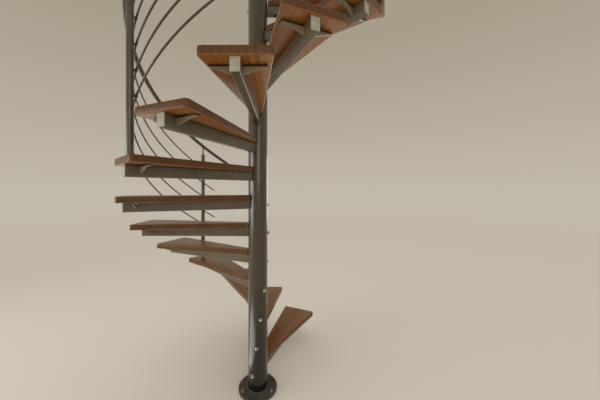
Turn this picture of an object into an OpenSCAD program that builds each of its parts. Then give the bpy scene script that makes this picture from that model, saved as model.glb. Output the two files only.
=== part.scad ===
// Spiral staircase: wooden wedge treads on steel arms round a bolted steel column,
// with a balustrade of posts, thin helical rods and a round helical handrail.
// Origin on the floor in the column's axis, +Z up, climbing counter-clockwise.

/* [Climb] */
// Rise from the top of one tread to the top of the next
rise = 192; // [170:1:210]
// Turn from one tread to the next
step_angle = 22.66; // [21:0.01:24]
// Direction of the first tread, from +X
first_angle = 65.74; // [0:0.01:90]
// Number of treads below the landing board
tread_count = 14; // [10:1:15]

/* [Column] */
// Outside diameter of the column tube
column_d = 133; // [110:1:160]
// Wall of the column tube
column_wall = 4; // [3:0.5:8]
// Height of the column over the landing board
column_over = 1000; // [900:10:1200]
// Thickness of the closing cap on the column
cap_t = 8; // [5:1:15]
// Bevel round the cap's upper edge
cap_bevel = 2; // [0.5:0.5:4]
// Depth of the cap's spigot in the tube
spigot_depth = 25; // [10:1:60]

/* [Base plate] */
// Diameter of the base plate
base_d = 266; // [250:1:320]
// Thickness of the base plate
base_t = 12; // [8:1:20]
// Bevel round the base plate's upper edge
base_bevel = 2; // [0.5:0.5:4]
// Pitch circle of the floor bolts
floor_bolt_pcd = 220; // [205:1:225]
// Number of floor bolts
floor_bolt_count = 6; // [4:1:8]
// Diameter of the holes for the floor bolts
floor_bolt_hole_d = 14; // [10:0.5:18]
// Direction of the first floor bolt
floor_bolt_angle = 30; // [0:1:60]

/* [Treads] */
// Distance from the column's axis to the straight outer end
tread_reach = 820; // [780:1:900]
// Thickness of the wood
tread_t = 35; // [28:1:45]
// Half width of the outer end, clockwise side of the arm
nose_cw = 147; // [120:1:160]
// Half width of the outer end, counter-clockwise side of the arm
nose_ccw = 150; // [120:1:160]
// Half width of the inner end, clockwise side of the arm
heel_cw = 16; // [8:1:50]
// Half width of the inner end, counter-clockwise side of the arm
heel_ccw = 30; // [20:1:50]
// Gap between the wood's inner end and the column
heel_gap = 8; // [1:0.5:15]
// Plan radius of the outer corners
corner_r = 22; // [15:1:40]
// Chamfer round the upper and lower edges
edge_ease = 3; // [1:0.5:5]

/* [Arms] */
// Setback of an arm's closed end behind the tread's outer end
arm_setback = 13; // [2:1:25]
// Width of the rectangular tube
arm_w = 40; // [30:1:60]
// Height of the rectangular tube
arm_h = 60; // [50:1:80]
// Wall of the rectangular tube
arm_wall = 3; // [2:0.5:5]
// Outer corner radius of the rectangular tube
arm_corner = 6; // [5:0.5:9]
// Thickness of the plate that closes the outer end
end_plate_t = 4; // [2:0.5:8]
// Corner radius of the plate that closes the outer end
end_plate_corner = 2; // [1:0.5:4]
// Thickness of the curved plate that seats on the column
saddle_t = 8; // [4:1:12]
// Diameter of the holes for the bolt through saddle and column
arm_bolt_hole_d = 17; // [13:0.5:21]
// Distance of that bolt under the top of the tube
arm_bolt_drop = 37; // [25:1:40]
// Diameter of the hole under the arm that gives access to the bolt
access_d = 30; // [20:1:32]
// Distance from the column's surface to the middle of the access hole
access_out = 60; // [40:1:100]

/* [Wings] */
// Setback of the wing plates' outer face behind the tread's outer end
wing_setback = 77; // [40:1:150]
// Gap from a wing's tip to the nearer side edge of the tread
wing_tip_inset = 15; // [5:1:30]
// Thickness of the wing plates
wing_t = 6; // [4:0.5:10]
// Depth of a wing plate beside the arm
wing_root = 42; // [30:1:45]
// Depth of a wing plate at its tip
wing_tip = 10; // [8:1:20]
// Width of the flange under the tread
flange_w = 32; // [20:1:50]
// Thickness of the flange under the tread
flange_t = 5; // [3:0.5:7]
// Setback of the flange behind the wing plate's outer face
flange_setback = 4.5; // [1:0.5:5]

/* [Balustrade] */
// Post on every so many treads, and on the last tread
post_every = 4; // [3:1:5]
// Outside diameter of the posts
post_d = 33.7; // [26:0.1:42]
// Wall of the posts
post_wall = 2.6; // [2:0.1:4]
// Height of the posts over their tread, to the top of the dome
post_h = 936; // [850:1:960]
// Setback of a post's axis behind the tread's outer end
post_setback = 33; // [24:1:60]
// Distance of a post's axis from the arm's centreline
post_side = 24; // [0:1:60]
// Diameter of the stem between post and handrail
stem_d = 12; // [8:1:16]
// Diameter of the handrail
handrail_d = 28; // [25:1:42]
// Height of the handrail's axis over the tops of the posts' domes
handrail_over = 74; // [50:1:150]
// Turn of the handrail past the first and last post
handrail_lead = 18; // [10:1:20]
// Number of thin rods
rod_count = 5; // [3:1:5]
// Diameter of the rods
rod_d = 10; // [6:0.5:12]
// Gap between a rod and the posts it passes
rod_gap = 4.5; // [2:0.5:10]
// Height of the lowest rod over the treads, at the posts
rod_first_h = 292; // [150:1:320]
// Height from one rod to the next
rod_spacing = 125; // [90:1:135]
// Turn of the rods past the first and last post
rod_lead = 7.5; // [4:0.5:10]
// Diameter of the pins that carry the clips
pin_d = 8; // [5:0.5:10]
// Wall of the clips that hold the rods
clip_wall = 1.5; // [1.2:0.1:4]
// Length of a clip along its rod
clip_l = 10; // [6:1:30]

/* [Hidden] */
$fn = 64;
seat_gap = 0.3;
spigot_gap = 0.4;
cut_over = 1;
column_r = column_d / 2;
seat_r = column_r + seat_gap;
landing = tread_count + 1;
column_top = landing * rise + column_over;
heel_x = column_r / 2;
heel_r = edge_ease + cut_over;
heel_sides = 8;
corner_sides = 32;
arm_reach = tread_reach - arm_setback;
wing_reach = tread_reach - wing_setback;
cw_side = [-1, nose_cw, heel_cw];
ccw_side = [1, nose_ccw, heel_ccw];
wing_span = min([for (s = [cw_side, ccw_side]) side_y(wing_reach, s, 0)]) - wing_tip_inset;
post_reach = tread_reach - post_setback;
post_turn = atan2(post_side, post_reach);
post_radius = norm([post_reach, post_side]);
first_post = post_every;
handrail_h = post_h + handrail_over;
posts_at = [
    for (k = [post_every : post_every : tread_count - 1]) k,
    tread_count
];
rod_radius = post_radius - post_d / 2 - rod_gap - rod_d / 2;
clip_r = rod_d / 2 + seat_gap + clip_wall;
rod_sides = 8;
handrail_sides = 12;
handrail_flat = handrail_d / 2 * cos(180 / handrail_sides);
stations_per_step = 8;
end_taper_d = 0.7;
end_taper_run = 0.17;

function two_digits(k) = str(k < 10 ? "0" : "", k);
function tread_name(k) = k == landing ? "landing_board" : str("tread_", two_digits(k));
function arm_name(k) = k == landing ? "landing_arm" : str("arm_", two_digits(k));
function post_name(k) = str("post_", two_digits(k));
function rod_name(i) = str("rod_", i);

// Direction of tread k, and of a post that stands on it
function tread_angle(k) = first_angle + (k - 1) * step_angle;
function post_angle(k) = tread_angle(k) + post_turn;

// Height of the bolt through arm k
function arm_bolt_z(k) = k * rise - tread_t - arm_bolt_drop;

// Slope of a helix that climbs with the treads at radius r
function helix_slope(r) = atan(rise / (step_angle * PI / 180 * r));
// Height of that helix in direction a, when it runs h over the treads at the posts
function helix_z(a, h) = h + rise * (1 + (a - post_angle(1)) / step_angle);
// Height of rod i over the treads
function rod_h(i) = rod_first_h + (i - 1) * rod_spacing;

// Section of a round bar on the helix, square to its run
function bar_ring(a, r, h, bar_r, sides) = [
    for (i = [0 : sides - 1])
        let (
            slope = helix_slope(r),
            out = bar_r * cos(360 * (i + 0.5) / sides),
            up = bar_r * sin(360 * (i + 0.5) / sides)
        )
        [
            (r + out) * cos(a) + up * sin(slope) * sin(a),
            (r + out) * sin(a) - up * sin(slope) * cos(a),
            helix_z(a, h) + up * cos(slope)
        ]
];

// Directions along a bar from a0 to a1, each with the share of the bar's radius there
function bar_stations(a0, a1, taper_turn) =
    let (count = ceil((a1 - a0) / step_angle * stations_per_step))
    concat(
        [[a0, end_taper_d]],
        [for (i = [0 : count]) [a0 + taper_turn + (a1 - a0 - 2 * taper_turn) * i / count, 1]],
        [[a1, end_taper_d]]
    );

// Round bar along the helix, with tapered ends
module helical_bar(a0, a1, r, h, d, sides) {
    stations = bar_stations(a0, a1, end_taper_run * d / r * 180 / PI);
    rings = [for (s = stations) each bar_ring(s[0], r, h, d / 2 * s[1], sides)];
    last = (len(stations) - 1) * sides;
    walls = [
        for (j = [0 : len(stations) - 2], i = [0 : sides - 1])
            let (n = (i + 1) % sides)
            [j * sides + i, j * sides + n, (j + 1) * sides + n, (j + 1) * sides + i]
    ];
    start_cap = [for (i = [sides - 1 : -1 : 0]) i];
    end_cap = [for (i = [0 : sides - 1]) last + i];
    polyhedron(points = rings, faces = concat([start_cap], walls, [end_cap]), convexity = 10);
}

// Half width of a tread's outline at x, on the side with [sign, nose, heel], less a corner radius r
function side_y(x, side, r) =
    let (run = (side[1] - side[2]) / (tread_reach - heel_x))
    side[2] + (x - heel_x) * run - r * sqrt(1 + run * run);

// Corner of a tread with chamfered upper and lower edges
module tread_corner(x, y, r, sides) {
    translate([x, y, -tread_t])
        cylinder(r = r - edge_ease, h = tread_t, $fn = sides);
    translate([x, y, edge_ease - tread_t])
        cylinder(r = r, h = tread_t - 2 * edge_ease, $fn = sides);
}

// Wedge of wood with its upper face at z = 0, hollowed at the heel to clear the column
module wedge() {
    difference() {
        hull() {
            for (side = [cw_side, ccw_side]) {
                tip_x = tread_reach - corner_r;
                tread_corner(tip_x, side[0] * side_y(tip_x, side, corner_r), corner_r, corner_sides);
                root_x = heel_x + heel_r;
                tread_corner(root_x, side[0] * side_y(root_x, side, heel_r), heel_r, heel_sides);
            }
        }
        translate([0, 0, -tread_t - cut_over])
            cylinder(r = column_r + heel_gap, h = tread_t + 2 * cut_over);
    }
}

module tread(k) {
    color("sienna")
        translate([0, 0, k * rise])
            rotate([0, 0, tread_angle(k)])
                wedge();
}

// Bar along +X with a rounded rectangular section, centred on the arm's axis
module rounded_bar(w, h, r, x0, x1) {
    translate([x0, 0, -arm_h / 2])
        rotate([90, 0, 90])
            linear_extrude(x1 - x0) {
                square([w, h - 2 * r], center = true);
                square([w - 2 * r, h], center = true);
                for (x = [-1, 1], y = [-1, 1])
                    translate([x * (w / 2 - r), y * (h / 2 - r)])
                        circle(r = r);
            }
}

// Inside of the arm's tube, from the curved saddle plate to the end plate
module arm_cavity() {
    difference() {
        rounded_bar(
            arm_w - 2 * arm_wall, arm_h - 2 * arm_wall, arm_corner - arm_wall,
            0, arm_reach - end_plate_t
        );
        translate([0, 0, -arm_h])
            cylinder(r = seat_r + saddle_t, h = arm_h);
    }
}

// Closed tube with a saddle on the column, its upper face at z = 0
module arm_tube() {
    difference() {
        union() {
            rounded_bar(arm_w, arm_h, arm_corner, 0, arm_reach - end_plate_t / 2);
            rounded_bar(arm_w, arm_h, end_plate_corner, arm_reach - end_plate_t, arm_reach);
        }
        arm_cavity();
        translate([0, 0, -arm_h - cut_over])
            cylinder(r = seat_r, h = arm_h + 2 * cut_over);
        translate([0, 0, -arm_bolt_drop])
            rotate([0, 90, 0])
                cylinder(d = arm_bolt_hole_d, h = seat_r + saddle_t + cut_over);
        translate([column_r + access_out, 0, -arm_h - cut_over])
            cylinder(d = access_d, h = arm_wall + 2 * cut_over);
    }
}

// Tapered plate beside the arm and the flange that the tread rests on
module wing() {
    root_y = arm_w / 2 - arm_wall / 2;
    translate([wing_reach, 0, 0])
        rotate([90, 0, -90])
            mirror([1, 0, 0])
                linear_extrude(wing_t)
                    polygon([
                        [root_y, -flange_t],
                        [wing_span, -flange_t],
                        [wing_span, -wing_tip],
                        [arm_w / 2, -wing_root],
                        [root_y, -wing_root]
                    ]);
    translate([wing_reach - flange_w, arm_w / 2 - arm_corner, -flange_t])
        cube([flange_w - flange_setback, wing_span - arm_w / 2 + arm_corner, flange_t]);
}

module arm(k) {
    color("dimgray")
        translate([0, 0, k * rise - tread_t])
            rotate([0, 0, tread_angle(k)]) {
                arm_tube();
                wing();
                mirror([0, 1, 0])
                    wing();
            }
}

module base_plate() {
    color("darkslategray")
        difference() {
            rotate_extrude()
                polygon([
                    [0, 0],
                    [base_d / 2, 0],
                    [base_d / 2, base_t - base_bevel],
                    [base_d / 2 - base_bevel, base_t],
                    [0, base_t]
                ]);
            for (i = [0 : floor_bolt_count - 1])
                rotate([0, 0, floor_bolt_angle + i * 360 / floor_bolt_count])
                    translate([floor_bolt_pcd / 2, 0, -cut_over])
                        cylinder(d = floor_bolt_hole_d, h = base_t + 2 * cut_over);
        }
}

// Tube on the base plate, drilled right through for the bolt of each arm
module column() {
    color("dimgray")
        difference() {
            translate([0, 0, base_t])
                cylinder(r = column_r, h = column_top - base_t);
            translate([0, 0, base_t - cut_over])
                cylinder(r = column_r - column_wall, h = column_top - base_t + 2 * cut_over);
            for (k = [1 : landing])
                translate([0, 0, arm_bolt_z(k)])
                    rotate([0, 90, tread_angle(k)])
                        cylinder(d = arm_bolt_hole_d, h = column_d + 2 * cut_over, center = true);
        }
}

module column_cap() {
    spigot_r = column_r - column_wall - spigot_gap;
    color("dimgray")
        translate([0, 0, column_top])
            rotate_extrude()
                polygon([
                    [0, -spigot_depth],
                    [spigot_r, -spigot_depth],
                    [spigot_r, 0],
                    [column_r, 0],
                    [column_r, cap_t - cap_bevel],
                    [column_r - cap_bevel, cap_t],
                    [0, cap_t]
                ]);
}

// Stem from a post's dome to the underside of the sloping handrail
module stem() {
    start = post_h - post_d / 2;
    difference() {
        translate([0, 0, start])
            cylinder(d = stem_d, h = handrail_h - start);
        translate([0, 0, handrail_h])
            rotate([helix_slope(post_radius), 0, 0])
                translate([-stem_d, -3 * stem_d, -handrail_flat - seat_gap])
                    cube([2 * stem_d, 6 * stem_d, handrail_d]);
    }
}

// Cylinder round a rod's axis at a post in direction +X, along the rod's slope
module along_rod(i, r, l) {
    translate([rod_radius, 0, rod_h(i)])
        rotate([helix_slope(rod_radius) - 90, 0, 0])
            cylinder(r = r, h = l, center = true);
}

// Pin from a post's axis to rod i
module pin(i) {
    translate([rod_radius, 0, rod_h(i)])
        rotate([0, 90, 0])
            cylinder(d = pin_d, h = post_radius - rod_radius);
}

// Domed post with its stem, pins and clips, standing on a tread in direction +X
module post_body() {
    difference() {
        union() {
            translate([post_radius, 0, 0]) {
                cylinder(d = post_d, h = post_h - post_d / 2);
                translate([0, 0, post_h - post_d / 2])
                    sphere(d = post_d);
                stem();
            }
            for (i = [1 : rod_count]) {
                pin(i);
                along_rod(i, clip_r, clip_l);
            }
        }
        for (i = [1 : rod_count])
            along_rod(i, rod_d / 2 + seat_gap, clip_l + 2 * cut_over);
        translate([post_radius, 0, -cut_over])
            cylinder(d = post_d - 2 * post_wall, h = post_h - post_d / 2 - post_wall + cut_over);
    }
}

module post(k) {
    color("dimgray")
        translate([0, 0, k * rise])
            rotate([0, 0, post_angle(k)])
                post_body();
}

module rod(i) {
    color("darkslategray")
        helical_bar(
            post_angle(first_post) - rod_lead, post_angle(tread_count) + rod_lead,
            rod_radius, rod_h(i), rod_d, rod_sides
        );
}

module handrail() {
    color("darkslategray")
        helical_bar(
            post_angle(first_post) - handrail_lead, post_angle(tread_count) + handrail_lead,
            post_radius, handrail_h, handrail_d, handrail_sides
        );
}

base_plate();
column();
column_cap();
for (k = [1 : landing])
    tread(k);
for (k = [1 : landing])
    arm(k);
for (k = posts_at)
    post(k);
for (i = [1 : rod_count])
    rod(i);
handrail();
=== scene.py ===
from math import atan, atan2, hypot, pi, radians, sqrt

import bmesh
import bpy
from mathutils import Matrix, Vector


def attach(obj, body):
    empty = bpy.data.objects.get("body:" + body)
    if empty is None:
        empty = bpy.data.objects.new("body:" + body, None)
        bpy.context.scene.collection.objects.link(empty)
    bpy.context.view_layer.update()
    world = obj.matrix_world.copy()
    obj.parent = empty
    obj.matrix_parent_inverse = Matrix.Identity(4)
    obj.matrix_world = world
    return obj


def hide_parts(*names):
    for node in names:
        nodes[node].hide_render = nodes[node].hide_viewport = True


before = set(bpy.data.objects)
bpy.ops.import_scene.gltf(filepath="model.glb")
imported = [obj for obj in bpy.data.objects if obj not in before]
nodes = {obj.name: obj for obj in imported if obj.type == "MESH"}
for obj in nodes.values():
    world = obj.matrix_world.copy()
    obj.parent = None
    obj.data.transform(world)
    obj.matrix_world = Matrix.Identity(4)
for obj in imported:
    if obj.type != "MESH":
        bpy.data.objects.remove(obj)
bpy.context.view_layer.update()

# Sizes of the solids, in metres and radians
RISE = 0.192
STEP = radians(22.66)
FIRST = radians(65.74)
LANDING = 15
COLUMN_R = 0.0665
SEAT_GAP = 0.0003
SEAT_R = COLUMN_R + SEAT_GAP
BASE_T = 0.012
FLOOR_BOLT_R = 0.110
TREAD_REACH = 0.820
TREAD_T = 0.035
NOSE_CW = 0.147
NOSE_CCW = 0.150
HEEL_CW = 0.016
HEEL_CCW = 0.030
HEEL_X = COLUMN_R / 2
HEEL_GAP = 0.008
HEEL_R = COLUMN_R + HEEL_GAP
CORNER_R = 0.022
ARM_REACH = 0.807
ARM_W = 0.040
ARM_H = 0.060
BOLT_DROP = 0.037
SADDLE_T = 0.008
WING_REACH = 0.743
WING_T = 0.006
WING_ROOT = 0.042
FLANGE_T = 0.005
POSTS = (4, 8, 12, 14)
POST_D = 0.0337
POST_REACH = 0.787
POST_SIDE = 0.024
POST_RADIUS = hypot(POST_REACH, POST_SIDE)
POST_TURN = atan2(POST_SIDE, POST_REACH)
ROD_COUNT = 5
ROD_D = 0.010
ROD_GAP = 0.0045
ROD_RADIUS = POST_RADIUS - POST_D / 2 - ROD_GAP - ROD_D / 2
ROD_FIRST_H = 0.292
ROD_SPACING = 0.125
ROD_LEAD = radians(7.5)
HANDRAIL_D = 0.028
HANDRAIL_H = 1.010
HANDRAIL_LEAD = radians(18)

# Sizes of the finish and of the painted shade
EASED_EDGE = 0.0034
# How far the painted shade in the gap over the wing plates reaches down the upright plate
GAP_SHADE_DEPTH = 0.004
# Heights of the column's painted shade: deepest below the first, gone above the second
SHIN_HEIGHT = 0.3
HIP_HEIGHT = 0.95
STAVE_WIDTH = 0.072

# Faces that meet at more than this angle meet at a corner
CORNER = 1.2


def direction(level):
    """Direction of the arm and tread of a level, from +X."""
    return FIRST + (level - 1) * STEP


def place(level, drop=0.0):
    """Matrix from an arm's own frame, +X along it, to its place below the top of its tread."""
    return Matrix.Translation((0, 0, level * RISE - drop)) @ Matrix.Rotation(direction(level), 4, "Z")


# Materials

def linear(code):
    """Linear colour from an sRGB hex value."""
    parts = [int(code[i:i + 2], 16) / 255 for i in (0, 2, 4)]
    return [p / 12.92 if p <= 0.04045 else ((p + 0.055) / 1.055) ** 2.4 for p in parts] + [1.0]


def add(tree, kind, inputs=None, **settings):
    """Adds a node, sets its properties, and sets its inputs or links them to a socket."""
    node = tree.nodes.new(kind)
    for name, value in settings.items():
        setattr(node, name, value)
    for name, value in (inputs or {}).items():
        if isinstance(value, bpy.types.NodeSocket):
            tree.links.new(value, node.inputs[name])
        else:
            node.inputs[name].default_value = value
    return node


def new_material(name):
    """A material with its node tree and its shader."""
    material = bpy.data.materials.new(name)
    material.use_nodes = True
    return material, material.node_tree, material.node_tree.nodes["Principled BSDF"]


def set_shader(tree, shader, **inputs):
    """Sets or links the shader's sockets; an underscore stands for a space."""
    for name, value in inputs.items():
        socket = shader.inputs[name.replace("_", " ")]
        if isinstance(value, bpy.types.NodeSocket):
            tree.links.new(value, socket)
        else:
            socket.default_value = value


def painted_steel(name, light, dark, rough_low, rough_high, peel_depth, gloss_coat=0.0):
    """Alkyd paint sprayed on steel: an even dark tone with a faint cloudiness, soft reflections that
    break up on the spray's orange peel, and duller patches where hands and dust have been."""
    material, tree, shader = new_material(name)
    here = add(tree, "ShaderNodeTexCoord").outputs["Object"]
    # Clouds of about 120 mm
    clouds = add(tree, "ShaderNodeTexNoise", {"Vector": here, "Scale": 8.0, "Detail": 3.0})
    # Scuffs of about 40 mm
    scuffs = add(tree, "ShaderNodeTexNoise", {"Vector": here, "Scale": 25.0, "Detail": 4.0,
                                              "Roughness": 0.6})
    tone = add(tree, "ShaderNodeMapRange", {"Value": clouds.outputs["Fac"], "From Min": 0.3,
                                            "From Max": 0.7})
    worn = add(tree, "ShaderNodeMapRange", {"Value": scuffs.outputs["Fac"], "From Min": 0.55,
                                            "From Max": 0.8, "To Max": 0.35})
    cloudy = add(tree, "ShaderNodeMix", {"Factor": tone.outputs["Result"]}, data_type="RGBA")
    cloudy.inputs["A"].default_value = linear(dark)
    cloudy.inputs["B"].default_value = linear(light)
    colour = add(tree, "ShaderNodeMix", {"Factor": worn.outputs["Result"]}, data_type="RGBA")
    tree.links.new(cloudy.outputs["Result"], colour.inputs["A"])
    colour.inputs["B"].default_value = linear(light)
    gloss = add(tree, "ShaderNodeMapRange", {"Value": scuffs.outputs["Fac"], "From Min": 0.3,
                                             "From Max": 0.75, "To Min": rough_low,
                                             "To Max": rough_high})
    # Orange peel, 2 mm in the real paint and drawn at 5 mm so that it shows
    peel = add(tree, "ShaderNodeTexNoise", {"Vector": here, "Scale": 200.0, "Detail": 1.0})
    bump = add(tree, "ShaderNodeBump", {"Height": peel.outputs["Fac"], "Strength": peel_depth,
                                        "Distance": 0.0002})
    set_shader(tree, shader, Base_Color=colour.outputs["Result"], Roughness=gloss.outputs["Result"],
               Normal=bump.outputs["Normal"], IOR=1.5, Coat_Weight=gloss_coat, Coat_Roughness=0.22)
    return material


def pale_wings_and_gap_shade(material, gain):
    """The wing plates, cut from flat sheet, keep a paler and drier coat than the drawn tube, and the
    gap over them is painted near black as painted shade. They are all that lies farther from an arm's
    centreline than half the tube's width."""
    tree = material.node_tree
    shader = tree.nodes["Principled BSDF"]
    here = add(tree, "ShaderNodeTexCoord").outputs["Object"]
    flat = add(tree, "ShaderNodeVectorMath", {0: here, 1: (1, 1, 0)}, operation="MULTIPLY")
    reach = add(tree, "ShaderNodeVectorMath", {0: flat.outputs["Vector"]}, operation="LENGTH")
    parts = add(tree, "ShaderNodeSeparateXYZ", {"Vector": here})
    turn = add(tree, "ShaderNodeMath", {0: parts.outputs["Y"], 1: parts.outputs["X"]},
               operation="ARCTAN2")
    # Turns are counted from the gap between the landing and the first tread, and each becomes the
    # distance from the nearest arm's centreline
    low = FIRST - STEP
    value = add(tree, "ShaderNodeMath", {0: turn.outputs["Value"], 1: low + 2 * pi, 2: low},
                operation="WRAP")
    past_tube = ARM_W / 2 + 0.0003
    for operation, second in (("SUBTRACT", FIRST - STEP / 2), ("DIVIDE", STEP), ("FRACT", 0.0),
                              ("SUBTRACT", 0.5), ("ABSOLUTE", 0.0), ("MULTIPLY", STEP),
                              ("MULTIPLY", reach.outputs["Value"]), ("GREATER_THAN", past_tube)):
        value = add(tree, "ShaderNodeMath", {0: value.outputs["Value"], 1: second},
                    operation=operation)
    paint = shader.inputs["Base Color"].links[0].from_socket
    paler = add(tree, "ShaderNodeHueSaturation", {"Color": paint, "Value": gain,
                                                  "Fac": value.outputs["Value"]})
    # Near-black painted shade in the gap over the plates: on the flange's edge and a little way down
    # the upright plate, but not on the flange's underside
    rise = add(tree, "ShaderNodeMath", {0: parts.outputs["Z"], 1: RISE, 2: 0.0}, operation="WRAP")
    gap = add(tree, "ShaderNodeMath", {0: rise.outputs["Value"],
                                       1: RISE - TREAD_T - FLANGE_T - GAP_SHADE_DEPTH},
              operation="GREATER_THAN")
    faces = add(tree, "ShaderNodeNewGeometry").outputs["Normal"]
    slope = add(tree, "ShaderNodeMath",
                {0: add(tree, "ShaderNodeSeparateXYZ", {"Vector": faces}).outputs["Z"]},
                operation="ABSOLUTE")
    upright = add(tree, "ShaderNodeMath", {0: slope.outputs["Value"], 1: 0.5},
                  operation="LESS_THAN")
    for part in (gap, upright):
        value = add(tree, "ShaderNodeMath", {0: part.outputs["Value"], 1: value.outputs["Value"]},
                    operation="MULTIPLY")
    coat = add(tree, "ShaderNodeMix", {"Factor": value.outputs["Value"],
                                       "A": paler.outputs["Color"]}, data_type="RGBA")
    coat.inputs["B"].default_value = linear("100e0b")
    tree.links.new(coat.outputs["Result"], shader.inputs["Base Color"])


def paint_foot_shade(material):
    """Painted shade: the column's colour is darker and its coat thinner below hip height, and most of
    all at the shins, standing in for the shade low down by the floor."""
    tree = material.node_tree
    shader = tree.nodes["Principled BSDF"]
    here = add(tree, "ShaderNodeTexCoord").outputs["Object"]
    height = add(tree, "ShaderNodeSeparateXYZ", {"Vector": here}).outputs["Z"]
    depth = add(tree, "ShaderNodeMapRange", {"Value": height, "From Min": SHIN_HEIGHT,
                                             "From Max": HIP_HEIGHT, "To Min": 0.15,
                                             "To Max": 1.0})
    whole_coat = shader.inputs["Coat Weight"].default_value
    gleam = add(tree, "ShaderNodeMapRange", {"Value": height, "From Min": SHIN_HEIGHT,
                                             "From Max": HIP_HEIGHT, "To Min": 0.35,
                                             "To Max": whole_coat})
    paint = shader.inputs["Base Color"].links[0].from_socket
    shaded = add(tree, "ShaderNodeHueSaturation", {"Color": paint, "Value": depth.outputs["Result"]})
    set_shader(tree, shader, Base_Color=shaded.outputs["Color"], Coat_Weight=gleam.outputs["Result"])


def lacquered_wood():
    """Red-brown hardwood, planed, stained and lacquered: long streaks along the board, staves of
    slightly different tone, dark pores, and a clear coat that mirrors light softly."""
    material, tree, shader = new_material("lacquered_sapele")
    grain = add(tree, "ShaderNodeAttribute", attribute_name="grain").outputs["Vector"]
    # Streaks 9 mm wide and 250 mm long, with fibres of 2 mm by 90 mm in them
    long_way = add(tree, "ShaderNodeMapping", {"Vector": grain, "Scale": (4.0, 110.0, 110.0)})
    streaks = add(tree, "ShaderNodeTexNoise", {"Vector": long_way.outputs["Vector"], "Scale": 1.0,
                                               "Detail": 3.0, "Distortion": 0.4})
    fine_way = add(tree, "ShaderNodeMapping", {"Vector": grain, "Scale": (11.0, 480.0, 480.0)})
    fibres = add(tree, "ShaderNodeTexNoise", {"Vector": fine_way.outputs["Vector"], "Scale": 1.0,
                                              "Detail": 2.0})
    # Growth rings that leave arches of about 30 mm on the face
    ring_way = add(tree, "ShaderNodeMapping", {"Vector": grain, "Scale": (1.6, 34.0, 34.0)})
    rings = add(tree, "ShaderNodeTexWave", {"Vector": ring_way.outputs["Vector"], "Scale": 0.3,
                                            "Distortion": 7.0, "Detail": 2.0, "Detail Scale": 0.8},
                bands_direction="Y")
    # Staves side by side, each with its own tone
    parts = add(tree, "ShaderNodeSeparateXYZ", {"Vector": grain})
    stave = add(tree, "ShaderNodeMath", {0: parts.outputs["Y"], 1: 1 / STAVE_WIDTH},
                operation="MULTIPLY")
    number = add(tree, "ShaderNodeMath", {0: stave.outputs["Value"]}, operation="FLOOR")
    own = add(tree, "ShaderNodeTexWhiteNoise", {"W": number.outputs["Value"]},
              noise_dimensions="1D")
    figure = add(tree, "ShaderNodeMix", {"Factor": 0.22, "A": streaks.outputs["Fac"],
                                         "B": rings.outputs["Fac"]}, data_type="FLOAT")
    with_fibres = add(tree, "ShaderNodeMix", {"Factor": 0.3, "A": figure.outputs["Result"],
                                              "B": fibres.outputs["Fac"]}, data_type="FLOAT")
    depth = add(tree, "ShaderNodeMapRange", {"Value": with_fibres.outputs["Result"],
                                             "From Min": 0.25, "From Max": 0.75})
    brown = add(tree, "ShaderNodeMix", {"Factor": depth.outputs["Result"]}, data_type="RGBA")
    brown.inputs["A"].default_value = linear("6f4119")
    brown.inputs["B"].default_value = linear("9f6329")
    # The faces that are walked on have darkened under shoes and sunlight
    facing = add(tree, "ShaderNodeNewGeometry")
    upright = add(tree, "ShaderNodeSeparateXYZ", {"Vector": facing.outputs["Normal"]})
    walked = add(tree, "ShaderNodeMapRange", {"Value": upright.outputs["Z"], "From Min": 0.2,
                                              "From Max": 0.8, "To Min": 1.0, "To Max": 0.64})
    lift = add(tree, "ShaderNodeMapRange", {"Value": own.outputs["Value"], "To Min": 0.88,
                                            "To Max": 1.1})
    value = add(tree, "ShaderNodeMath", {0: lift.outputs["Result"], 1: walked.outputs["Result"]},
                operation="MULTIPLY")
    toned = add(tree, "ShaderNodeHueSaturation", {"Color": brown.outputs["Result"],
                                                  "Value": value.outputs["Value"]})
    # Stain lies darker on the edges and the end grain than on the broad faces
    level = add(tree, "ShaderNodeMath", {0: upright.outputs["Z"]}, operation="ABSOLUTE")
    broad = add(tree, "ShaderNodeMapRange", {"Value": level.outputs["Value"], "From Min": 0.2,
                                             "From Max": 0.9})
    edged = add(tree, "ShaderNodeMix", {"Factor": broad.outputs["Result"]}, data_type="RGBA")
    side = add(tree, "ShaderNodeMix", {"Factor": 0.25}, data_type="RGBA")
    side.inputs["A"].default_value = linear("3b2614")
    tree.links.new(toned.outputs["Color"], side.inputs["B"])
    tree.links.new(side.outputs["Result"], edged.inputs["A"])
    tree.links.new(toned.outputs["Color"], edged.inputs["B"])
    gloss = add(tree, "ShaderNodeMapRange", {"Value": streaks.outputs["Fac"], "From Min": 0.3,
                                             "From Max": 0.7, "To Min": 0.28, "To Max": 0.42})
    # The coat has worn thin on the top and the edges, and keeps its gloss underneath
    coat = add(tree, "ShaderNodeMapRange", {"Value": upright.outputs["Z"], "From Min": -0.8,
                                            "From Max": -0.2, "To Min": 0.8, "To Max": 0.1})
    bump = add(tree, "ShaderNodeBump", {"Height": with_fibres.outputs["Result"], "Strength": 0.2,
                                        "Distance": 0.0003})
    set_shader(tree, shader, Base_Color=edged.outputs["Result"], Roughness=gloss.outputs["Result"],
               Normal=bump.outputs["Normal"], IOR=1.5, Specular_IOR_Level=0.25,
               Coat_Weight=coat.outputs["Result"], Coat_Roughness=0.15)
    return material


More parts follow.
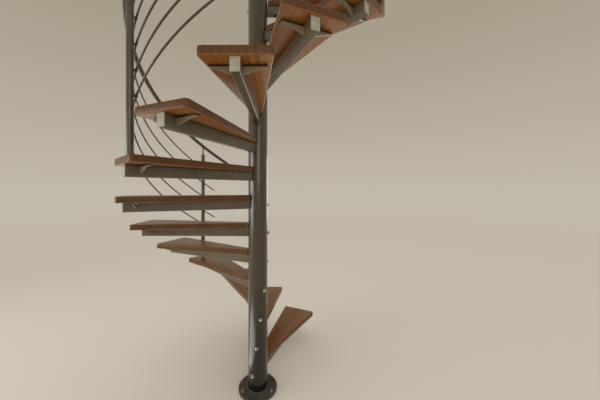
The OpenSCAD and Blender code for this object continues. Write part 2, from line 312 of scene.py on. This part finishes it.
def zinc_plated():
    """Zinc-plated steel, drawn and turned: a bright grey metal, a little cloudy, that catches the
    light as a small glint on each dome."""
    material, tree, shader = new_material("zinc_plated_steel")
    here = add(tree, "ShaderNodeTexCoord").outputs["Object"]
    # Clouds of 6 mm in the plating
    clouds = add(tree, "ShaderNodeTexNoise", {"Vector": here, "Scale": 160.0, "Detail": 3.0})
    colour = add(tree, "ShaderNodeMix", {"Factor": clouds.outputs["Fac"]}, data_type="RGBA")
    colour.inputs["A"].default_value = linear("8f8f8a")
    colour.inputs["B"].default_value = linear("c9c8c1")
    gloss = add(tree, "ShaderNodeMapRange", {"Value": clouds.outputs["Fac"], "To Min": 0.22,
                                             "To Max": 0.42})
    set_shader(tree, shader, Base_Color=colour.outputs["Result"], Metallic=1.0,
               Roughness=gloss.outputs["Result"])
    return material


def moulded_cap():
    """Polyethylene, moulded with a fine spark-eroded grain: a pale grey, matt plug that looks flat
    beside the dark paint, with a little grime where it was handled."""
    material, tree, shader = new_material("moulded_polyethylene")
    here = add(tree, "ShaderNodeTexCoord").outputs["Object"]
    # Grime in patches of 20 mm
    grime = add(tree, "ShaderNodeTexNoise", {"Vector": here, "Scale": 50.0, "Detail": 3.0})
    tone = add(tree, "ShaderNodeMapRange", {"Value": grime.outputs["Fac"], "From Min": 0.35,
                                            "From Max": 0.7})
    colour = add(tree, "ShaderNodeMix", {"Factor": tone.outputs["Result"]}, data_type="RGBA")
    colour.inputs["A"].default_value = linear("a19e8c")
    colour.inputs["B"].default_value = linear("938f7c")
    # Moulded grain, 0.3 mm in the real cap and drawn at 1.5 mm
    grit = add(tree, "ShaderNodeTexNoise", {"Vector": here, "Scale": 700.0, "Detail": 1.0})
    bump = add(tree, "ShaderNodeBump", {"Height": grit.outputs["Fac"], "Strength": 0.3,
                                        "Distance": 0.0001})
    set_shader(tree, shader, Base_Color=colour.outputs["Result"], Normal=bump.outputs["Normal"],
               Roughness=0.55, IOR=1.51)
    return material


column_paint = painted_steel("gloss_paint_on_tube", light="3b301a", dark="322815", rough_low=0.2,
                             rough_high=0.3, peel_depth=0.05, gloss_coat=0.65)
paint_foot_shade(column_paint)
arm_paint = painted_steel("satin_paint_on_box_tube", light="5a4f3c", dark="4f4534", rough_low=0.26,
                          rough_high=0.38, peel_depth=0.12)
pale_wings_and_gap_shade(arm_paint, gain=2.3)
plate_paint = painted_steel("satin_paint_on_plate", light="4b473c", dark="3e3a31", rough_low=0.28,
                            rough_high=0.42, peel_depth=0.15)
rail_paint = painted_steel("satin_paint_on_rail", light="484031", dark="393226", rough_low=0.26,
                           rough_high=0.38, peel_depth=0.1, gloss_coat=0.5)
wood = lacquered_wood()
zinc = zinc_plated()
plastic = moulded_cap()


# Modelling

def only(piece):
    """Leaves just this piece selected and active."""
    bpy.ops.object.select_all(action="DESELECT")
    piece.select_set(True)
    bpy.context.view_layer.objects.active = piece


def started(name):
    """The primitive just added, named, with its place in its mesh."""
    piece = bpy.context.object
    piece.name = piece.data.name = name
    only(piece)
    bpy.ops.object.transform_apply(location=True, rotation=True, scale=True)
    return piece


def open_mesh(piece, mode="FACE"):
    """Edit mode with nothing selected."""
    only(piece)
    bpy.ops.object.mode_set(mode="EDIT")
    bpy.ops.mesh.select_mode(type=mode)
    bpy.ops.mesh.select_all(action="DESELECT")
    return bmesh.from_edit_mesh(piece.data)


def pick(piece, kind, test):
    """Selects the verts, edges or faces that pass the test."""
    mesh = bmesh.from_edit_mesh(piece.data)
    for part in getattr(mesh, kind):
        if test(part):
            part.select_set(True)
    bmesh.update_edit_mesh(piece.data)


def close_mesh(smooth=35):
    """Back to object mode, with normals outwards and edges sharper than the angle kept crisp."""
    bpy.ops.mesh.select_all(action="SELECT")
    bpy.ops.mesh.remove_doubles(threshold=0.000002)
    bpy.ops.mesh.normals_make_consistent(inside=False)
    bpy.ops.object.mode_set(mode="OBJECT")
    bpy.ops.object.shade_smooth_by_angle(angle=radians(smooth))


def use_modifier(piece, kind, **settings):
    """Adds a modifier and applies it."""
    only(piece)
    modifier = piece.modifiers.new(kind.lower(), kind)
    for name, value in settings.items():
        setattr(modifier, name, value)
    bpy.ops.object.modifier_apply(modifier=modifier.name)


def join(name, *pieces):
    """One piece from several."""
    only(pieces[0])
    for piece in pieces:
        piece.select_set(True)
    bpy.ops.object.join()
    pieces[0].name = pieces[0].data.name = name
    return pieces[0]


def copied(piece, name, matrix):
    """A copy with its own mesh, moved to its place."""
    twin = piece.copy()
    twin.data = piece.data.copy()
    twin.name = twin.data.name = name
    twin.data.transform(matrix)
    bpy.context.scene.collection.objects.link(twin)
    return twin


def finished(piece, material, slot, *replaced):
    """Gives a piece its finish and fixes it to the stair."""
    piece.data.materials.clear()
    piece.data.materials.append(material)
    if replaced:
        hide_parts(*replaced)
    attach(piece, "root")


def dropped(piece):
    """Removes a piece that was only a pattern for copies or a cutter."""
    bpy.data.objects.remove(piece, do_unlink=True)


def middle(edge):
    """Middle of an edge."""
    return (edge.verts[0].co + edge.verts[1].co) / 2


# Treads: a board tapered to the column, its corners rounded, its edges eased by hand

def model_tread():
    """Seen along the arm's own +X, its top at z = 0."""
    length = TREAD_REACH - HEEL_X
    width = NOSE_CW + NOSE_CCW
    # How far the rounding of an outer corner reaches along the board's edges
    rounding = CORNER_R * 0.92
    bpy.ops.object.select_all(action="DESELECT")
    bpy.ops.mesh.primitive_cube_add(
        size=1, location=(HEEL_X + length / 2, (NOSE_CCW - NOSE_CW) / 2, -TREAD_T / 2),
        scale=(length, width, TREAD_T))
    board = started("tread")
    for side, nose, heel in ((-1, NOSE_CW, HEEL_CW), (1, NOSE_CCW, HEEL_CCW)):
        open_mesh(board, "VERT")
        pick(board, "verts", lambda v: v.co.x < HEEL_X + 0.01 and v.co.y * side > 0)
        bpy.ops.transform.translate(value=(0, side * (heel - nose), 0))
        bpy.ops.object.mode_set(mode="OBJECT")
    open_mesh(board, "EDGE")
    pick(board, "edges", lambda e: middle(e).x > TREAD_REACH - 0.01
         and abs(e.verts[0].co.z - e.verts[1].co.z) > 0.01)
    bpy.ops.mesh.bevel(offset=rounding, segments=10, profile=0.5, affect="EDGES")
    bpy.ops.object.mode_set(mode="OBJECT")
    bpy.ops.object.select_all(action="DESELECT")
    bpy.ops.mesh.primitive_cylinder_add(vertices=96, radius=HEEL_R, depth=0.2)
    cutter = started("heel_cutter")
    use_modifier(board, "BOOLEAN", object=cutter, operation="DIFFERENCE", solver="EXACT")
    dropped(cutter)
    open_mesh(board, "EDGE")
    pick(board, "edges", lambda e: abs(e.verts[0].co.z - e.verts[1].co.z) < 0.001
         and hypot(middle(e).x, middle(e).y) > HEEL_R + 0.0005 and not e.is_boundary
         and len(e.link_faces) == 2 and e.calc_face_angle() > CORNER)
    bpy.ops.mesh.bevel(offset=EASED_EDGE, segments=4, profile=0.5, affect="EDGES")
    close_mesh(30)
    return board


def grain_of(board, shift):
    """Keeps the board's own lengths as an attribute, so that the grain runs along it."""
    grain = board.data.attributes.new("grain", "FLOAT_VECTOR", "POINT")
    for vert, point in zip(board.data.vertices, grain.data):
        point.vector = vert.co + shift


pattern = model_tread()
for level in range(1, LANDING + 1):
    name = "landing_board" if level == LANDING else f"tread_{level:02d}"
    tread = copied(pattern, f"{name}_wood", Matrix.Identity(4))
    grain_of(tread, Vector((1.7 * level, 0.31 * level, 0.45 * level)))
    tread.data.transform(place(level))
    finished(tread, wood, "wood", name)
dropped(pattern)


# Rods and handrail: a round section carried up the helix, its ends rounded

def model_bar(name, radius, height, diameter, lead, sides, per_step):
    """A round bar on the stair's helix, its axis at this height over the treads at the posts, with
    so many sides, and so many sections from tread to tread."""
    start = direction(POSTS[0]) + POST_TURN - lead
    end = direction(POSTS[-1]) + POST_TURN + lead
    slope = atan(RISE / (STEP * radius))
    low = height + RISE * (1 + (start - direction(1) - POST_TURN) / STEP)
    bpy.ops.object.select_all(action="DESELECT")
    bpy.ops.mesh.primitive_circle_add(
        vertices=sides, radius=diameter / 2, fill_type="NOTHING",
        location=(radius, 0, low), rotation=(slope - pi / 2, 0, 0))
    bar = started(name)
    bar.data.transform(Matrix.Rotation(start, 4, "Z"))
    steps = round((end - start) / STEP * per_step)
    use_modifier(bar, "SCREW", axis="Z", angle=end - start, steps=steps, render_steps=steps,
                 screw_offset=RISE * (end - start) / STEP, use_merge_vertices=False)
    half = low + RISE * (end - start) / STEP / 2
    for side in (-1, 1):
        open_mesh(bar, "EDGE")
        pick(bar, "edges", lambda e: e.is_boundary and (middle(e).z - half) * side > 0)
        bpy.ops.mesh.edge_face_add()
        bpy.ops.mesh.bevel(offset=diameter * 0.3, segments=4, profile=0.5, affect="EDGES")
        bpy.ops.object.mode_set(mode="OBJECT")
    open_mesh(bar)
    close_mesh(50)
    return bar


for i in range(1, ROD_COUNT + 1):
    rod = model_bar(f"rod_{i}_bar", ROD_RADIUS, ROD_FIRST_H + (i - 1) * ROD_SPACING, ROD_D,
                    ROD_LEAD, sides=16, per_step=12)
    finished(rod, rail_paint, "rail_steel", f"rod_{i}")
rail = model_bar("handrail_bar", POST_RADIUS, HANDRAIL_H, HANDRAIL_D, HANDRAIL_LEAD, sides=32,
                 per_step=16)
finished(rail, rail_paint, "rail_steel", "handrail")


# Bolts: one through the column at each arm, with a domed nut outside and a hexagon head inside

def disc(name, radius, thickness, x, bevel):
    """A washer on the X axis, its rims eased."""
    bpy.ops.object.select_all(action="DESELECT")
    bpy.ops.mesh.primitive_cylinder_add(vertices=40, radius=radius, depth=thickness,
                                        location=(x, 0, 0), rotation=(0, pi / 2, 0))
    washer = started(name)
    open_mesh(washer, "EDGE")
    pick(washer, "edges", lambda e: e.calc_face_angle() > CORNER)
    bpy.ops.mesh.bevel(offset=bevel, segments=2, affect="EDGES")
    close_mesh()
    return washer


def hexagon(name, flats, thickness, x):
    """A hexagon on the X axis with its corners turned off."""
    bpy.ops.object.select_all(action="DESELECT")
    bpy.ops.mesh.primitive_cylinder_add(vertices=6, radius=flats / sqrt(3), depth=thickness,
                                        location=(x, 0, 0), rotation=(0, pi / 2, 0))
    nut = started(name)
    open_mesh(nut, "EDGE")
    pick(nut, "edges", lambda e: e.calc_face_angle() > CORNER)
    bpy.ops.mesh.bevel(offset=flats * 0.05, segments=3, affect="EDGES")
    close_mesh()
    return nut


def dome(name, radius, height, x, way):
    """A crowned cap on the X axis, from half a ball."""
    bpy.ops.object.select_all(action="DESELECT")
    bpy.ops.mesh.primitive_uv_sphere_add(segments=32, ring_count=20, radius=radius)
    cap = started(name)
    open_mesh(cap)
    bpy.ops.mesh.select_all(action="SELECT")
    bpy.ops.mesh.bisect(plane_co=(0, 0, 0.0001), plane_no=(0, 0, 1), use_fill=True, clear_inner=True)
    bpy.ops.mesh.select_all(action="SELECT")
    bpy.ops.transform.resize(value=(1, 1, height / radius))
    close_mesh(60)
    cap.data.transform(Matrix.Translation((x, 0, 0)) @ Matrix.Rotation(way * pi / 2, 4, "Y"))
    return cap


def model_arm_bolt():
    """Seen along the arm's own +X: domed nut behind the column, head in the arm's tube."""
    out = -COLUMN_R
    inside = SEAT_R + SADDLE_T
    return join(
        "arm_bolt",
        disc("washer", radius=0.0122, thickness=0.0025, x=out - 0.0010, bevel=0.0005),
        hexagon("nut", flats=0.019, thickness=0.007, x=out - 0.0055),
        dome("cap", radius=0.0089, height=0.0095, x=out - 0.0085, way=-1),
        disc("inner_washer", radius=0.0145, thickness=0.0025, x=inside + 0.0013, bevel=0.0005),
        hexagon("head", flats=0.022, thickness=0.009, x=inside + 0.0070),
    )


pattern = model_arm_bolt()
for level in range(1, LANDING + 1):
    bolt = copied(pattern, f"arm_bolt_{level:02d}", place(level, TREAD_T + BOLT_DROP))
    finished(bolt, zinc, "column_steel")
dropped(pattern)


# Floor bolts: washer, nut and stud end on the base plate, in every second hole

def model_floor_bolt():
    """Stands on the base plate in the direction of +X."""
    upright = Matrix.Translation((FLOOR_BOLT_R, 0, BASE_T)) @ Matrix.Rotation(-pi / 2, 4, "Y")
    bolt = join(
        "floor_bolt",
        disc("washer", radius=0.0120, thickness=0.0025, x=0.00125, bevel=0.0005),
        hexagon("nut", flats=0.018, thickness=0.0095, x=0.0072),
        disc("stud", radius=0.0058, thickness=0.0080, x=0.0145, bevel=0.0010),
    )
    bolt.data.transform(upright)
    return bolt


pattern = model_floor_bolt()
for i in range(3):
    bolt = copied(pattern, f"floor_bolt_{i + 1}", Matrix.Rotation(radians(90 + 120 * i), 4, "Z"))
    finished(bolt, zinc, "plate_steel")
dropped(pattern)


# Screws up through each wing's flange into the tread

def model_screws():
    """Two screws in each wing's flange, about the middle of its width, their heads below it."""
    reach = WING_REACH - 0.0175
    from_centreline = (0.047, 0.098)
    down = Matrix.Rotation(pi / 2, 4, "Y")
    screw = join(
        "screw",
        disc("collar", radius=0.0065, thickness=0.0012, x=0.0006, bevel=0.0003),
        dome("head", radius=0.0052, height=0.0032, x=0.0012, way=1),
    )
    places = [side * y for side in (-1, 1) for y in from_centreline]
    group = [copied(screw, f"screw_{i}", Matrix.Translation((reach, y, -FLANGE_T)) @ down)
             for i, y in enumerate(places)]
    dropped(screw)
    return join("screws", *group)


pattern = model_screws()
for level in range(1, LANDING + 1):
    screws = copied(pattern, f"wing_screws_{level:02d}", place(level, TREAD_T))
    finished(screws, zinc, "arm_steel")
dropped(pattern)


# Weld beads, rippled by the torch: round the column's foot and beside each wing

def model_foot_weld():
    """A ring in the corner between column and base plate, with a ripple at every third section."""
    sections = 168
    off_corner = 0.0014
    bpy.ops.object.select_all(action="DESELECT")
    bpy.ops.mesh.primitive_torus_add(
        major_segments=sections, minor_segments=10, major_radius=COLUMN_R + off_corner,
        minor_radius=0.0045, location=(0, 0, BASE_T + off_corner))
    bead = started("column_weld")
    open_mesh(bead, "VERT")
    pick(bead, "verts", lambda v: round(atan2(v.co.y, v.co.x) / (2 * pi / sections)) % 3 == 0)
    bpy.ops.transform.shrink_fatten(value=0.0006)
    close_mesh(80)
    return bead


finished(model_foot_weld(), plate_paint, "plate_steel")


def model_wing_welds():
    """Upright beads in the corners between the arm's sides and its two wings."""
    beads = []
    end_gap = 0.002
    ripples = 21
    height = WING_ROOT - FLANGE_T - 2 * end_gap
    for side in (-1, 1):
        for x in (WING_REACH, WING_REACH - WING_T):
            bpy.ops.object.select_all(action="DESELECT")
            bpy.ops.mesh.primitive_cylinder_add(
                vertices=10, radius=0.0020, depth=height,
                location=(x, side * ARM_W / 2, -FLANGE_T - end_gap - height / 2))
            bead = started(f"bead_{len(beads)}")
            open_mesh(bead, "EDGE")
            pick(bead, "edges", lambda e: abs(e.verts[0].co.z - e.verts[1].co.z) > 0.01)
            bpy.ops.mesh.subdivide(number_cuts=ripples - 1)
            bpy.ops.mesh.select_all(action="DESELECT")
            bpy.ops.mesh.select_mode(type="VERT")
            ring = height / ripples
            pick(bead, "verts", lambda v: round((v.co.z + FLANGE_T + end_gap) / ring) % 2 == 0)
            bpy.ops.transform.shrink_fatten(value=0.0004)
            close_mesh(80)
            beads.append(bead)
    return join("wing_welds", *beads)


pattern = model_wing_welds()
for level in range(1, LANDING + 1):
    welds = copied(pattern, f"wing_welds_{level:02d}", place(level, TREAD_T))
    finished(welds, arm_paint, "arm_steel")
dropped(pattern)


# Caps on the outer ends of the arms that show, with sharper corners than the tube's

def model_arm_cap():
    """A thin plug over the end plate, standing a little proud of it."""
    thickness = 0.0015
    proud = 0.00045
    bpy.ops.object.select_all(action="DESELECT")
    bpy.ops.mesh.primitive_cube_add(
        size=1, location=(ARM_REACH + proud - thickness / 2, 0, -ARM_H / 2),
        scale=(thickness, ARM_W + 0.0004, ARM_H - 0.0006))
    cap = started("arm_cap")
    open_mesh(cap, "EDGE")
    pick(cap, "edges", lambda e: abs(e.verts[0].co.x - e.verts[1].co.x) > 0.001)
    bpy.ops.mesh.bevel(offset=0.0022, segments=4, affect="EDGES")
    bpy.ops.mesh.select_all(action="DESELECT")
    pick(cap, "edges", lambda e: middle(e).x > ARM_REACH and e.calc_face_angle() > CORNER)
    bpy.ops.mesh.bevel(offset=0.0004, segments=2, affect="EDGES")
    close_mesh()
    return cap


pattern = model_arm_cap()
for level in range(1, LANDING):
    cap = copied(pattern, f"arm_cap_{level:02d}", place(level, TREAD_T))
    finished(cap, plastic, "arm_steel")
dropped(pattern)


# Finishes of the solids that stay as they are
for name, node in nodes.items():
    for start, paint in (("column", column_paint), ("post", rail_paint), ("base", plate_paint),
                         ("arm", arm_paint), ("landing_arm", arm_paint)):
        if name.startswith(start):
            node.data.materials.clear()
            node.data.materials.append(paint)


# Floor, light and camera

bpy.ops.object.select_all(action="DESELECT")
bpy.ops.mesh.primitive_circle_add(vertices=96, radius=12, fill_type="NGON", location=(0, 0, 0))
floor = started("studio_floor")
floor.data.transform(Matrix.Translation((0, 0, -0.0005)))
floor_paint, tree, shader = new_material("pale_floor")
set_shader(tree, shader, Base_Color=linear("d9d0c0"), Roughness=0.8)
floor.data.materials.append(floor_paint)

world = bpy.data.worlds.new("studio")
bpy.context.scene.world = world
world.use_nodes = True
tree = world.node_tree
tree.nodes.clear()
path = add(tree, "ShaderNodeLightPath")
seen = path.outputs["Is Camera Ray"]
for ray in ("Is Glossy Ray", "Is Transmission Ray"):
    seen = add(tree, "ShaderNodeMath", {0: seen, 1: path.outputs[ray]},
               operation="MAXIMUM").outputs["Value"]
# A pale backdrop that darkens and warms a little upwards behind the stair
around = add(tree, "ShaderNodeTexCoord").outputs["Generated"]
parts = add(tree, "ShaderNodeSeparateXYZ", {"Vector": around})
upper = add(tree, "ShaderNodeMapRange", {"Value": parts.outputs["Z"], "From Min": 0.0,
                                         "From Max": 0.5})
rear = add(tree, "ShaderNodeMapRange", {"Value": parts.outputs["Y"], "From Max": 0.5})
share = add(tree, "ShaderNodeMath", {0: upper.outputs["Result"], 1: rear.outputs["Result"]},
            operation="MULTIPLY")
tint = add(tree, "ShaderNodeMix", {"Factor": share.outputs["Value"]}, data_type="RGBA")
tint.inputs["A"].default_value = linear("c1b9aa")
tint.inputs["B"].default_value = linear("a89d8b")
fill = add(tree, "ShaderNodeBackground", {"Color": linear("f4f2ee"), "Strength": 0.85})
backdrop = add(tree, "ShaderNodeBackground", {"Color": tint.outputs["Result"], "Strength": 1.0})
both = add(tree, "ShaderNodeMixShader", {0: seen, 1: fill.outputs["Background"],
                                         2: backdrop.outputs["Background"]})
add(tree, "ShaderNodeOutputWorld", {"Surface": both.outputs["Shader"]})


def softbox(name, place, aim, width, height, power, spread=180):
    """A large soft light, aimed at a point; a grid on it narrows its spread."""
    data = bpy.data.lights.new(name, "AREA")
    data.shape = "RECTANGLE"
    data.size, data.size_y, data.energy = width, height, power
    data.spread = radians(spread)
    light = bpy.data.objects.new(name, data)
    light.location = place
    light.rotation_euler = (Vector(aim) - Vector(place)).to_track_quat("-Z", "Y").to_euler()
    light.visible_camera = False
    bpy.context.scene.collection.objects.link(light)


softbox("left_key", place=(-4.6, -1.6, 1.45), aim=(0, 0, 1.3), width=3.8, height=1.9, power=30,
        spread=100)
softbox("low_bounce", place=(-0.72, -0.30, 0.02), aim=(-0.72, -0.30, 1.0), width=0.9, height=0.8,
        power=6.2)
softbox("front_fill", place=(1.0, -4.6, 2.6), aim=(0, 0, 1.6), width=2.4, height=2.4, power=24)
softbox("back_rim", place=(1.9, 4.0, 1.4), aim=(0, 0, 1.5), width=2.2, height=1.6, power=2.5,
        spread=60)

# The camera's place, lens and frame come from fitting the photograph; lengths on it are in pixels
PHOTO_W = 600
PHOTO_H = 400
FOCAL = 249.91
CENTRE = (283.33, 189.35)
lens = bpy.data.cameras.new("photo_view")
lens.sensor_width = 36
lens.lens = FOCAL * lens.sensor_width / PHOTO_W
lens.shift_x = (PHOTO_W / 2 - CENTRE[0]) / PHOTO_W
lens.shift_y = (CENTRE[1] - PHOTO_H / 2) / PHOTO_W
camera = bpy.data.objects.new("photo_view", lens)
camera.location = (0.17772, -1.74629, 1.38233)
camera.rotation_euler = (pi / 2, 0, 0)
bpy.context.scene.collection.objects.link(camera)
bpy.context.scene.camera = camera
bpy.context.scene.view_settings.view_transform = "Standard"
